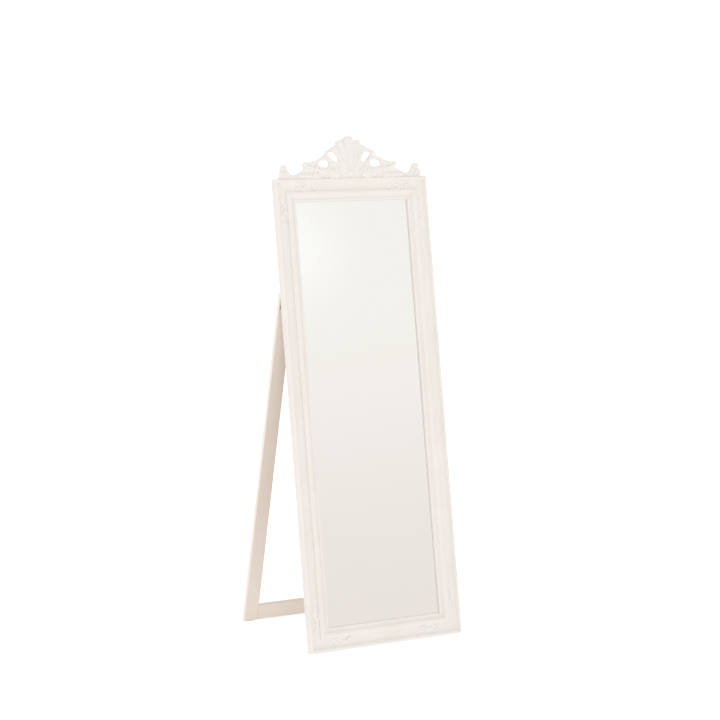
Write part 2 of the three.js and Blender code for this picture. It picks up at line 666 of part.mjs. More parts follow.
// The leg hangs on the pins, swung back by the angle at which its bevel meets the frame.
const leg = new THREE.Group();
leg.position.set(0, HALF_GAP, HINGE_HEIGHT);
leg.rotation.x = LEG_OPEN;
frame.add(leg);
for (const name of Object.keys(RAIL_HEIGHTS)) {
  leg.add(piece(name, legRail(name), legPaint()));
}

for (const [word, hand] of [["left", -1], ["right", 1]]) {
  const x = hand * HINGE_X;
  const pinAt = [x, HALF_GAP, HINGE_HEIGHT];
  leg.add(piece(`leg_stile_${word}`, legStile(hand), legPaint()));
  leg.add(piece(`hinge_leaf_leg_${word}`, hingeLeaf(false), zincSteel(), [x, 0, 0]));
  frame.add(piece(`hinge_leaf_frame_${word}`, hingeLeaf(true), zincSteel(), pinAt));
  frame.add(piece(`hinge_pin_${word}`, hingePin(), zincSteel(), pinAt));
  SCREW_PLACES.forEach((place, i) => {
    const face = LEAF_FACE - LEAF.thickness;
    const onFrame = [x + place.x, HALF_GAP - face, HINGE_HEIGHT + place.z];
    frame.add(piece(`frame_screw_${word}_${i + 1}`, screw(), zincSteel(), onFrame));
    const onLeg = [x + place.x, face, place.z];
    leg.add(piece(`leg_screw_${word}_${i + 1}`, screw(), zincSteel(), onLeg, [Math.PI, 0, 0]));
  });
  const dowel = new THREE.CylinderGeometry(DOWEL.radius, DOWEL.radius, DOWEL.length, DOWEL.sides);
  const dowelAt = [hand * DOWEL.x, DOWEL_Y, FRAME_HEIGHT];
  frame.add(piece(`crest_dowel_${word}`, dowel, beech(), dowelAt, [Math.PI / 2, 0, 0]));
}

// The glides lie level on the floor, under the planed back edge of the frame and under the
// leg's feet.
const bevelDepth = FOOT_BEVEL / Math.tan(FRAME_LEAN) + FOOT_BEVEL * Math.tan(FRAME_LEAN);
const frameFootY = FOOT_BEVEL * Math.tan(FRAME_LEAN) - bevelDepth / 2;
const pinY = HINGE_HEIGHT * Math.sin(FRAME_LEAN) + HALF_GAP * Math.cos(FRAME_LEAN);
const legFootY =
  pinY + PIN_RISE * Math.tan(LEG_LEAN) + (HALF_GAP + BATTEN_THICKNESS / 2) / Math.cos(LEG_LEAN);
const mirror = new THREE.Group();
mirror.add(frame);
for (const [word, hand] of [["left", -1], ["right", 1]]) {
  const underFrame = [hand * (FRAME_WIDTH / 2 - MOULDING_WIDTH), frameFootY, 0];
  const underLeg = [hand * HINGE_X, legFootY, 0];
  mirror.add(piece(`frame_glide_${word}`, glide(FRAME_GLIDE_DEPTH), felt(), underFrame));
  mirror.add(piece(`leg_glide_${word}`, glide(LEG_GLIDE_DEPTH), felt(), underLeg));
}

mirror.updateMatrixWorld(true);
const box = new THREE.Box3().setFromObject(mirror, true);
mirror.position.set(-(box.min.x + box.max.x) / 2, -(box.min.y + box.max.y) / 2, -box.min.z);

const group = new THREE.Group();
group.add(mirror);
export default group;
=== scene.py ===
"""The looks of a leaning floor mirror: a painted, carved frame with a pierced shell crest, the
silvered glass in it, and the hinged back leg. Carved and moulded pieces are drawn here in
millimetres, in the frame's own panel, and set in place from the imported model."""

import json
import math

import bmesh
import bpy
import numpy as np
from mathutils import Matrix, Vector
from mathutils.geometry import tessellate_polygon

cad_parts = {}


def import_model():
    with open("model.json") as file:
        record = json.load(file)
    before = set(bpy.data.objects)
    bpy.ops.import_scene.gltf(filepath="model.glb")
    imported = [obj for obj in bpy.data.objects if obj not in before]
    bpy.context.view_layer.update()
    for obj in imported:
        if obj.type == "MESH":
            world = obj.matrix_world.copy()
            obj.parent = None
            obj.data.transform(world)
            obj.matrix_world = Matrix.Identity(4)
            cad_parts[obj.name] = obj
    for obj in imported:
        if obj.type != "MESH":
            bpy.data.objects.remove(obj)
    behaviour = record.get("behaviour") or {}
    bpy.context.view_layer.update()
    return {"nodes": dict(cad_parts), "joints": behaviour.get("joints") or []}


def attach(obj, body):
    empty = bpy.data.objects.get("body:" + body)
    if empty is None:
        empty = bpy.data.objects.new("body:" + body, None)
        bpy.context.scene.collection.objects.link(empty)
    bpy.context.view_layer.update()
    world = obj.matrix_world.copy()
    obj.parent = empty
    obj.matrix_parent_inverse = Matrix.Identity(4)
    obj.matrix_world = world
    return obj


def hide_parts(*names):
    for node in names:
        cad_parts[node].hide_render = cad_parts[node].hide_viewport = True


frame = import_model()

scene = bpy.context.scene

# ---- Sizes, in millimetres unless a line says otherwise -----------------------------------
MM = 0.001
FRAME_WIDTH = 544
FRAME_HEIGHT = 1470
FRAME_LEAN = math.radians(9.3)
MOULDING_WIDTH = 72
REBATE_WIDTH = 10
LIP_BACK = 8.9  # from the frame's back to the underside of the lip
MITRE_GAP = 0.12  # across each half of a mitre
FOOT_LEVEL = 2  # the frame's lower back edge is planed at this height over the floor

PIN_IN_PANEL = Vector((0, 4, 1089))  # the hinge pins, as they lie in the panel

SILVER_FRONT = 8.6  # the silvering, from the frame's back
SILVER_BACK = 6
GLASS_PLAY = 1  # round the glass, inside the rebate
GLASS_INSET = MOULDING_WIDTH - REBATE_WIDTH + GLASS_PLAY

CREST_BACK = 9  # from the frame's back, as is the field
CREST_FIELD = 20.8
CREST_UNDERCUT = 4  # how far behind the field its carving starts
CREST_FOOT = -3.5  # bedded in the top rail, so that no gap shows under it

CAMERA_PLACE = Vector((-3.185, -5.840, 1.7335))  # metres
CAMERA_YAW = math.radians(28.86)
CAMERA_PITCH = math.radians(7.36)
CAMERA_LENS = 105.1
CAMERA_SENSOR = 36


# ---- The panel's place ---------------------------------------------------------------------
# In the panel x runs across, y runs back from the frame's back face, and z runs up along it.
def panel_placement():
    pin = Vector(frame["joints"][0]["pos_m"])
    lean = Matrix.Rotation(-FRAME_LEAN, 4, "X")
    return Matrix.Translation(pin - lean @ (PIN_IN_PANEL * MM)) @ lean @ Matrix.Scale(MM, 4)


PANEL = panel_placement()

# The four sides are the left-hand upright turned by quarter turns. Each has its name, the
# corner where it starts, its ends' names, the x and z where it starts, and its length.
SIDES = [
    ("stile_left", "bottom_left", ("lower", "upper"), -FRAME_WIDTH / 2, 0, FRAME_HEIGHT),
    ("rail_top", "top_left", ("left", "right"), -FRAME_WIDTH / 2, FRAME_HEIGHT, FRAME_WIDTH),
    ("stile_right", "top_right", ("upper", "lower"), FRAME_WIDTH / 2, FRAME_HEIGHT, FRAME_HEIGHT),
    ("rail_bottom", "bottom_right", ("right", "left"), FRAME_WIDTH / 2, 0, FRAME_WIDTH),
]


def side_placement(k):
    """Takes a side's own x inwards, y backwards and z along it to where that side lies."""
    _, _, _, x, z, _ = SIDES[k]
    return PANEL @ Matrix.Translation((x, 0, z)) @ Matrix.Rotation(k * math.pi / 2, 4, "Y")


# ---- Materials -----------------------------------------------------------------------------
class Finish:
    """A node material on object coordinates, which are metres in the part's frame."""

    def __init__(self, name, **settings):
        self.material = bpy.data.materials.new(name)
        self.material.use_nodes = True
        self.tree = self.material.node_tree
        self.shader = self.tree.nodes["Principled BSDF"]
        self.place = self.node("ShaderNodeTexCoord").outputs["Object"]
        self.height = None
        for socket, value in settings.items():
            self.shader.inputs[socket.replace("_", " ")].default_value = value

    def node(self, kind, inputs=(), **properties):
        made = self.tree.nodes.new(kind)
        for key, value in properties.items():
            setattr(made, key, value)
        for key, value in dict(inputs).items():
            if isinstance(value, bpy.types.NodeSocket):
                self.tree.links.new(value, made.inputs[key])
            else:
                made.inputs[key].default_value = value
        return made

    def noise(self, scale, detail=3, roughness=0.5, distortion=0):
        """Noise with so many features to the metre, along x, y and z."""
        stretched = self.node("ShaderNodeMapping", {"Vector": self.place, "Scale": scale})
        inputs = {
            "Vector": stretched.outputs[0],
            "Scale": 1,
            "Detail": detail,
            "Roughness": roughness,
            "Distortion": distortion,
        }
        return self.node("ShaderNodeTexNoise", inputs).outputs["Fac"]

    def ramp(self, value, low, high, start=0.0, end=1.0):
        """Runs from start to end as the value runs from low to high."""
        inputs = {0: value, 1: low, 2: high, 3: start, 4: end}
        return self.node("ShaderNodeMapRange", inputs).outputs[0]

    def mix(self, amount, first, second):
        mixer = self.node("ShaderNodeMix", data_type="RGBA")
        for key, value in ((0, amount), (6, first), (7, second)):
            if isinstance(value, bpy.types.NodeSocket):
                self.tree.links.new(value, mixer.inputs[key])
            else:
                mixer.inputs[key].default_value = value
        return mixer.outputs[2]

    def maths(self, operation, first, second):
        return self.node("ShaderNodeMath", {0: first, 1: second}, operation=operation).outputs[0]

    def relief(self):
        return self.node("ShaderNodeAttribute", attribute_name="relief").outputs["Fac"]

    def bump(self, value, distance, strength):
        """Adds a relief of so many metres to what is there already."""
        inputs = {"Height": value, "Distance": distance, "Strength": strength}
        if self.height:
            inputs["Normal"] = self.height
        self.height = self.node("ShaderNodeBump", inputs).outputs[0]
        self.tree.links.new(self.height, self.shader.inputs["Normal"])

    def drive(self, socket, value):
        self.tree.links.new(value, self.shader.inputs[socket])


def colour(red, green, blue):
    return (red, green, blue, 1)


# Brush marks, as features to the metre along x, y and z.
ALONG_X = (14, 420, 420)
ALONG_Z = (420, 420, 14)
ALL_ROUND = (260, 260, 260)

HOLLOW_SHADE_SHARE = 0.4  # how much of the painted shade's colour lies in the deepest hollow


def paint(name, base, hollow_shade, ridge_highlight, brush, gloss=(0.40, 0.56)):
    """Satin paint: brush marks, faint clouding, painted shade in the hollows and a painted highlight on
    the ridges.
    """
    made = Finish(name, Coat_Weight=0.12, Coat_Roughness=0.32)
    strokes = made.noise(brush, detail=4, roughness=0.6)
    clouds = made.noise((7, 7, 7), detail=3)
    speckle = made.noise((1500, 1500, 1500), detail=2)
    relief = made.relief()
    clouded = made.mix(made.ramp(clouds, 0.35, 0.7, 0, 0.35), base, hollow_shade)
    # Painted shade: the hollows are darkened towards the shade colour, patchy along the brush strokes.
    hollow = made.ramp(relief, -0.05, -0.8)
    painted_shade_mask = made.maths("MULTIPLY", hollow, made.ramp(strokes, 0.3, 0.65, 0.45, 1.0))
    hollows_shaded = made.mix(made.maths("MULTIPLY", painted_shade_mask, HOLLOW_SHADE_SHARE), clouded, hollow_shade)
    # Painted highlight: the ridges are made paler, patchy along the clouding.
    ridge = made.ramp(relief, 0.15, 0.9)
    highlight_mask = made.maths("MULTIPLY", ridge, made.ramp(clouds, 0.4, 0.6, 0.1, 0.8))
    finished = made.mix(highlight_mask, hollows_shaded, ridge_highlight)
    made.drive("Base Color", finished)
    dull = made.ramp(strokes, 0.3, 0.7, gloss[0], gloss[1])
    made.drive("Roughness", made.maths("ADD", dull, made.ramp(hollow, 0, 1, 0, 0.14)))
    made.bump(clouds, 0.0016, 0.35)
    made.bump(strokes, 0.00022, 0.55)
    made.bump(speckle, 0.00006, 0.5)
    return made.material


def hardboard():
    """Pressed fibre board: long tangled fibres, darker flecks, a dull surface."""
    made = Finish("hardboard")
    fibres = made.noise((900, 900, 260), detail=5, roughness=0.7, distortion=1.5)
    flecks = made.noise((2200, 2200, 900), detail=2)
    clouds = made.noise((9, 9, 9), detail=4)
    brown = made.mix(fibres, colour(0.17, 0.094, 0.045), colour(0.36, 0.215, 0.105))
    clouded = made.mix(made.ramp(clouds, 0.3, 0.7, 0, 0.4), brown, colour(0.24, 0.135, 0.066))
    dark = made.ramp(flecks, 0.62, 0.74, 0, 0.6)
    made.drive("Base Color", made.mix(dark, clouded, colour(0.07, 0.036, 0.018)))
    made.drive("Roughness", made.ramp(fibres, 0.3, 0.7, 0.72, 0.9))
    made.bump(fibres, 0.00018, 0.7)
    return made.material


def steel(name, base, dull, grain):
    """Plated or rolled steel with a fine grain, cloudy patches and small scratches."""
    made = Finish(name, Metallic=1.0)
    lines = made.noise(grain, detail=3)
    clouds = made.noise((160, 160, 160), detail=4)
    tone = made.mix(made.ramp(clouds, 0.3, 0.7, 0, 1), base, dull)
    made.drive("Base Color", tone)
    brushed = made.ramp(lines, 0.3, 0.7, 0.24, 0.4)
    dulled = made.ramp(clouds, 0.4, 0.7, 0, 0.12)
    made.drive("Roughness", made.maths("ADD", brushed, dulled))
    made.bump(lines, 0.00005, 0.5)
    return made.material


def bare_wood():
    """Unpainted dowel, its grain along y."""
    made = Finish("dowel_wood")
    grain = made.noise((900, 60, 900), detail=4, distortion=0.4)
    made.drive("Base Color", made.mix(grain, colour(0.42, 0.27, 0.13), colour(0.66, 0.47, 0.27)))
    made.drive("Roughness", made.ramp(grain, 0.3, 0.7, 0.55, 0.75))
    made.bump(grain, 0.0001, 0.6)
    return made.material


def felt():
    """Matted fibres with a soft sheen."""
    made = Finish("felt", Sheen_Weight=0.5, Sheen_Roughness=0.6)
    fuzz = made.noise((1900, 1900, 1900), detail=5, roughness=0.75, distortion=2)
    made.drive("Base Color", made.mix(fuzz, colour(0.46, 0.42, 0.37), colour(0.74, 0.70, 0.65)))
    made.drive("Roughness", made.ramp(fuzz, 0.3, 0.7, 0.85, 0.98))
    made.bump(fuzz, 0.00035, 0.9)
    return made.material


def silvered_glass():
    """Silver seen through clear glass, with the faintest haze from cleaning."""
    made = Finish("mirror", Metallic=1.0)
    haze = made.noise((3, 3, 3), detail=4, distortion=0.6)
    smears = made.noise((30, 30, 6), detail=3, distortion=0.8)
    hazed = made.ramp(haze, 0.3, 0.7, 0, 1)
    tint = made.mix(hazed, colour(0.955, 0.965, 0.955), colour(0.965, 0.968, 0.962))
    made.drive("Base Color", tint)
    made.drive("Roughness", made.ramp(smears, 0.35, 0.8, 0.004, 0.014))
    return made.material


# Each paint has its own colour, a darker one for the painted shade in its hollows and for its random
# clouding, and a paler one for the painted highlight on its ridges.
WHITE = colour(0.875, 0.842, 0.814)
WHITE_SHADE = colour(0.80, 0.762, 0.725)
WHITE_HIGHLIGHT = colour(0.885, 0.865, 0.845)
# The carving has the moulding's white paint, made lighter here: painted light that offsets the shade in
# its deep grooves.
CARVED = colour(0.89, 0.862, 0.848)
CARVED_SHADE = colour(0.845, 0.81, 0.79)
CARVED_HIGHLIGHT = colour(0.895, 0.88, 0.865)
CREAM = colour(0.90, 0.835, 0.77)
CREAM_SHADE = colour(0.85, 0.765, 0.685)
CREAM_HIGHLIGHT = colour(0.91, 0.865, 0.815)

ZINC = colour(0.62, 0.63, 0.64)
ZINC_DULL = colour(0.47, 0.48, 0.49)
STEEL = colour(0.42, 0.43, 0.44)
STEEL_DULL = colour(0.3, 0.3, 0.31)

MATERIALS = {
    "paint_upright": paint("paint_upright", WHITE, WHITE_SHADE, WHITE_HIGHLIGHT, ALONG_Z),
    "paint_across": paint("paint_across", WHITE, WHITE_SHADE, WHITE_HIGHLIGHT, ALONG_X),
    "paint_carving": paint(
        "paint_carving", CARVED, CARVED_SHADE, CARVED_HIGHLIGHT, ALL_ROUND, gloss=(0.44, 0.6)
    ),
    "leg_upright": paint("leg_upright", CREAM, CREAM_SHADE, CREAM_HIGHLIGHT, ALONG_Z),
    "leg_across": paint("leg_across", CREAM, CREAM_SHADE, CREAM_HIGHLIGHT, ALONG_X),
    "mirror": silvered_glass(),
    "hardboard": hardboard(),
    "zinc_steel": steel("zinc_steel", ZINC, ZINC_DULL, grain=(60, 900, 900)),
    "glazing_steel": steel("glazing_steel", STEEL, STEEL_DULL, grain=(900, 900, 60)),
    "dowel_wood": bare_wood(),
    "felt": felt(),
}


# ---- Mesh work -----------------------------------------------------------------------------
def new_object(name, verts, faces, placement):
    mesh = bpy.data.meshes.new(name)
    mesh.from_pydata([tuple(v) for v in verts], [], faces)
    work = bmesh.new()
    work.from_mesh(mesh)
    bmesh.ops.recalc_face_normals(work, faces=work.faces)
    work.to_mesh(mesh)
    work.free()
    mesh.transform(placement)
    made = bpy.data.objects.new(name, mesh)
    scene.collection.objects.link(made)
    return made


def keep_modifiers(piece):
    """Works the piece's modifiers into its mesh, and takes them off."""
    seen = piece.evaluated_get(bpy.context.evaluated_depsgraph_get())
    mesh = bpy.data.meshes.new_from_object(seen)
    piece.modifiers.clear()
    old = piece.data
    piece.data = mesh
    bpy.data.meshes.remove(old)


def shade(piece, angle):
    """Smooth, but for the edges that turn by more than so many degrees."""
    piece.data.shade_smooth()
    piece.data.set_sharp_from_angle(angle=math.radians(angle))


def finished(piece, body, slot, material, *nodes):
    """Gives the piece its material and body, and hides the nodes that it stands for. Its slot is not
    used.
    """
    piece.data.materials.clear()
    piece.data.materials.append(MATERIALS[material])
    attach(piece, body)
    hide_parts(*nodes)


def set_relief(mesh, values):
    """Keeps -1 in a hollow to +1 on a ridge for each vertex, for the paint to read."""
    layer = mesh.attributes.new("relief", "FLOAT", "POINT")
    layer.data.foreach_set("value", np.clip(values, -1, 1).astype(np.float32))


# ---- Moulding ------------------------------------------------------------------------------
# The section: u runs inwards from the outer edge, v forwards from the frame's back. Each run
# is a straight line's ends or a Bezier curve's control points.
SECTION_RUNS = [
    [(0, 0), (0, 21)],
    [(0, 21), (0, 25), (2, 27.5), (5, 27.5)],
    [(5, 27.5), (8, 27.5), (9.6, 26.4), (9.8, 24.6)],
    [(9.8, 24.6), (9.8, 23.2)],
    [(9.8, 23.2), (11.5, 23.2)],
    [(11.5, 23.2), (13.5, 17), (24, 14.6), (38.5, 17.2)],
    [(38.5, 17.2), (38.5, 19.4)],
    [(38.5, 19.4), (38.8, 22.3), (41.5, 22.6)],
    [(41.5, 22.6), (48.5, 25.4), (55.5, 21.6)],
    [(55.5, 21.6), (57.5, 15.8), (63, 14.8)],
    [(63, 14.8), (63.4, 16.2), (65, 17), (67.4, 17)],
    [(67.4, 17), (70, 17), (72, 15.2), (72, 12.6)],
    [(72, 12.6), (72, LIP_BACK)],
    [(72, LIP_BACK), (62, LIP_BACK)],
    [(62, LIP_BACK), (62, 0)],
]
CURVE_STEPS = 12
EASING = 0.7  # how far the paint rounds off an arris
EASING_STEPS = 4
EASING_SHARE = 0.45  # at most, of the edges that meet there
EASED_TURN = math.radians(25)


def bezier(controls, steps):
    """Points along a Bezier curve of any degree, without its last one."""
    run = []
    for t in np.arange(steps) / steps:
        level = np.array(controls, float)
        while len(level) > 1:
            level = level[:-1] * (1 - t) + level[1:] * t
        run.append(level[0])
    return run


def eased(outline):
    """The closed outline with each sharp corner rounded off."""
    out = []
    count = len(outline)
    for i, here in enumerate(outline):
        before = outline[i - 1] - here
        after = outline[(i + 1) % count] - here
        lengths = np.linalg.norm(before), np.linalg.norm(after)
        reach = min(EASING, lengths[0] * EASING_SHARE, lengths[1] * EASING_SHARE)
        first = before / lengths[0]
        second = after / lengths[1]
        turn = math.pi - math.acos(np.clip(first @ second, -1, 1))
        if turn < EASED_TURN:
            out.append(here)
            continue
        corner = [here + first * reach, here, here + second * reach]
        out.extend(bezier(corner, EASING_STEPS))
        out.append(corner[2])
    return np.array(out)


def moulding_section():
    outline = []
    for run in SECTION_RUNS:
        outline.extend(bezier(run, 1 if len(run) == 2 else CURVE_STEPS))
    return eased(outline)


SECTION = moulding_section()
FRONT_FROM = 12  # what is further back than this isn't the moulding's front
HOLLOW_SPAN = 7  # how far to either side a hollow is judged
HOLLOW_DEPTH = 7  # a hollow as deep as this is -1
RIDGE_GAIN = 0.25
PLAIN_FROM = 150  # from here to as far from the other end, a side has no cut in it
SHARP_TURN = 32  # degrees
LEAST_END = 0.3  # of a face's normal along the moulding, for it to belong to an end or a cut
WIDE_FACES_DECIDE = 100  # the most that the modifier takes


def section_relief(section):
    """-1 in the depth of a hollow and +1 on a crown, along the section's front."""
    u, v = section.T
    relief = []
    for here, height in zip(u, v):
        if height < FRONT_FROM:
            relief.append(0)
            continue
        left = v[(u <= here) & (u >= here - HOLLOW_SPAN)].max()
        right = v[(u >= here) & (u <= here + HOLLOW_SPAN)].max()
        hollow = (min(left, right) - height) / HOLLOW_DEPTH
        around = v[(abs(u - here) < HOLLOW_SPAN / 2) & (v > FRONT_FROM)].mean()
        relief.append(max(0, height - around) * RIDGE_GAIN - hollow)
    return np.array(relief)


def plane_foot(piece):
    """Takes off what would be below the frame's planed lower edge, and closes the cut."""
    work = bmesh.new()
    work.from_mesh(piece.data)
    everything = work.verts[:] + work.edges[:] + work.faces[:]
    level = {"plane_co": (0, 0, FOOT_LEVEL * MM), "plane_no": (0, 0, 1)}
    cut = bmesh.ops.bisect_plane(work, geom=everything, clear_inner=True, **level)
    rim = [item for item in cut["geom_cut"] if isinstance(item, bmesh.types.BMEdge)]
    bmesh.ops.contextual_create(work, geom=rim)
    work.to_mesh(piece.data)
    work.free()


def flatten_ends(piece, along):
    """Shades flat whatever faces along the moulding, so that its ends don't bend its sides."""
    for face in piece.data.polygons:
        if abs(face.normal @ along) > LEAST_END:
            face.use_smooth = False


def weigh_normals(piece):
    """Keeps wide flat faces flat beside the small rounded ones at their edges."""
    weigh = piece.modifiers.new("flat", "WEIGHTED_NORMAL")
    weigh.mode = "FACE_AREA"
    weigh.weight = WIDE_FACES_DECIDE
    weigh.keep_sharp = True


def moulding(k):
    """A side of the frame: the section drawn along it between its two mitres."""
    side, *_, length = SIDES[k]
    inset = SECTION[:, 0] + MITRE_GAP
    plain = np.maximum(inset, PLAIN_FROM)
    stations = [inset, plain, length - plain, length - inset]
    verts = []
    for ends in stations:
        verts.extend((u, -v, t) for (u, v), t in zip(SECTION, ends))
    count = len(SECTION)
    rows = len(stations) - 1
    faces = [list(range(count)), list(range(rows * count, len(verts)))]
    for row in range(rows):
        for i in range(count):
            a, b = row * count + i, row * count + (i + 1) % count
            faces.append((a, b, b + count, a + count))
    piece = new_object(f"{side}_moulding", verts, faces, side_placement(k))
    set_relief(piece.data, np.tile(section_relief(SECTION), len(stations)))
    if side != "rail_top":
        plane_foot(piece)
    cut_for_wedges(piece, k)
    shade(piece, SHARP_TURN)
    flatten_ends(piece, side_placement(k).to_3x3().col[2].normalized())
    weigh_normals(piece)
    material = "paint_across" if "rail" in side else "paint_upright"
    finished(piece, "frame", "frame_paint", material, side)


WEDGE_CLEARANCE = 0.3
WELD = 1e-6  # metres


def wedge_cutter(corner):
    """The wedge's own shape, grown a little, to cut its slot."""
    cad = frame["nodes"][f"mitre_wedge_{corner}"]
    mesh = cad.data.copy()
    work = bmesh.new()
    work.from_mesh(mesh)
    bmesh.ops.remove_doubles(work, verts=work.verts, dist=WELD)
    bmesh.ops.recalc_face_normals(work, faces=work.faces)
    work.normal_update()
    for vert in work.verts:
        vert.co += vert.normal * vert.calc_shell_factor() * WEDGE_CLEARANCE * MM
    work.to_mesh(mesh)
    work.free()
    cutter = bpy.data.objects.new(f"wedge_slot_{corner}", mesh)
    scene.collection.objects.link(cutter)
    return cutter


def cut_for_wedges(piece, k):
    """Cuts the slots of the steel wedges at the side's two corners."""
    cutters = [wedge_cutter(SIDES[k][1]), wedge_cutter(SIDES[(k + 1) % 4][1])]
    for cutter in cutters:
        cut = piece.modifiers.new("slot", "BOOLEAN")
        cut.operation = "DIFFERENCE"
        cut.solver = "EXACT"
        cut.object = cutter
    keep_modifiers(piece)
    for cutter in cutters:
        bpy.data.objects.remove(cutter)


# ---- Carving -------------------------------------------------------------------------------
# Carved work is drawn in a plane, as strips along paths. A station of a strip is
# [x, z, half width, crown], the crown being how far forward of the frame's back it stands.
# The strips of a piece are fused and smoothed into one surface.
STRIP_SPACING = 1.2
STRIP_SIDES = np.cos(np.linspace(math.pi, 0, 17))  # from edge to edge, closest at the edges
LEAST_HALF = 0.15  # a strip's least half width

# Narrow strips are lower. One of no width has this share of its height, and it gains a whole
# height for each so many millimetres of half width, up to its full height.
THIN_SHARE = 0.55
HEIGHT_GAINED_IN = 6

# Leaves: where along the midrib the leaflets spring, and how they shrink towards its tip.
LEAFLETS_FROM = 0.02
LEAFLETS_OVER = 0.78
LEAF_TAPER = 0.45
LEAFLET_SUNK = 1.6  # a leaflet's root, below the midrib's crown
LEAFLET_ROOT = 0.5  # its share of the half width there
# Degrees from the midrib's heading, share of the half width, and depth below the midrib's crown.
LEAFLET_STATIONS = [(28, 1.0, -0.4), (40, 1.1, 0.0), (58, 0.75, 1.4)]
HEADING_STEPS = 3  # how far ahead the midrib's heading is taken

# Rolled ends: how they wind in, narrow and rise on the way to the eye, and the eye itself.
VOLUTE_STATIONS = 9
VOLUTE_WOUND = 0.62
VOLUTE_TAPER = 0.35
VOLUTE_RISE = 1.2
EYE_SUNK = 6
EYE_SWELL = 1.05
EYE_DEPTH = 7.6

KNOB_ROWS = 10
KNOB_COLUMNS = 20

CARVING_VOXEL = 0.95
SOFTENING = 0.5
SOFTENING_ROUNDS = 7
FACES_KEPT = 0.45


# A strip's profile: its height as a share of its crown's, for s from -1 to 1 across it.
def domed(s):
    return 0.42 + 0.58 * np.sqrt(1 - s * s)


def veined(s):
    """A leaf: two rounded halves with a groove between them."""
    return domed(s) - 0.26 * np.exp(-((s / 0.26) ** 2))


def fluted(s):
    """A shell's lobe: raised rims with a hollow and a rib between."""
    return 0.45 + 0.55 * (1 - s**4) - 0.34 * np.exp(-(((np.abs(s) - 0.5) / 0.26) ** 2))


def cupped(s):
    """A band with a hollow down its middle and a rounded rim on either side."""
    return 0.36 + 0.6 * (1 - np.abs(s) ** 5) - 0.34 * np.exp(-((s / 0.5) ** 2))


def smooth_run(stations, steps=10):
    """A smooth curve through the stations, with so many steps from each to the next."""
    points = np.array(stations, float)
    ends = (2 * points[0] - points[1], 2 * points[-1] - points[-2])
    padded = np.vstack([ends[0], points, ends[1]])
    run = []
    for a, b, c, d in zip(padded, padded[1:], padded[2:], padded[3:]):
        for t in np.arange(steps) / steps:
            bend = 2 * a - 5 * b + 4 * c - d
            run.append(0.5 * (2 * b + (c - a) * t + bend * t**2 + (3 * b - a - 3 * c + d) * t**3))
    run.append(points[-1])
    return np.array(run)


def spaced(run):
    """The run in even steps: how far along it each one is, and its values there."""
    gaps = np.linalg.norm(np.diff(run[:, :2], axis=0), axis=1)
    distance = np.concatenate([[0], np.cumsum(gaps)])
    places = np.linspace(0, distance[-1], max(4, int(distance[-1] / STRIP_SPACING) + 1))
    return places, np.stack([np.interp(places, distance, column) for column in run.T], axis=1)


def unit(vectors):
    return vectors / np.linalg.norm(vectors, axis=1)[:, None]


def rounded_end(distance, radius):
    """How much of its width a strip has, so far from a round end."""
    short = np.clip(1 - distance / max(radius, LEAST_HALF), 0, 1)
    return np.sqrt(1 - short**2)


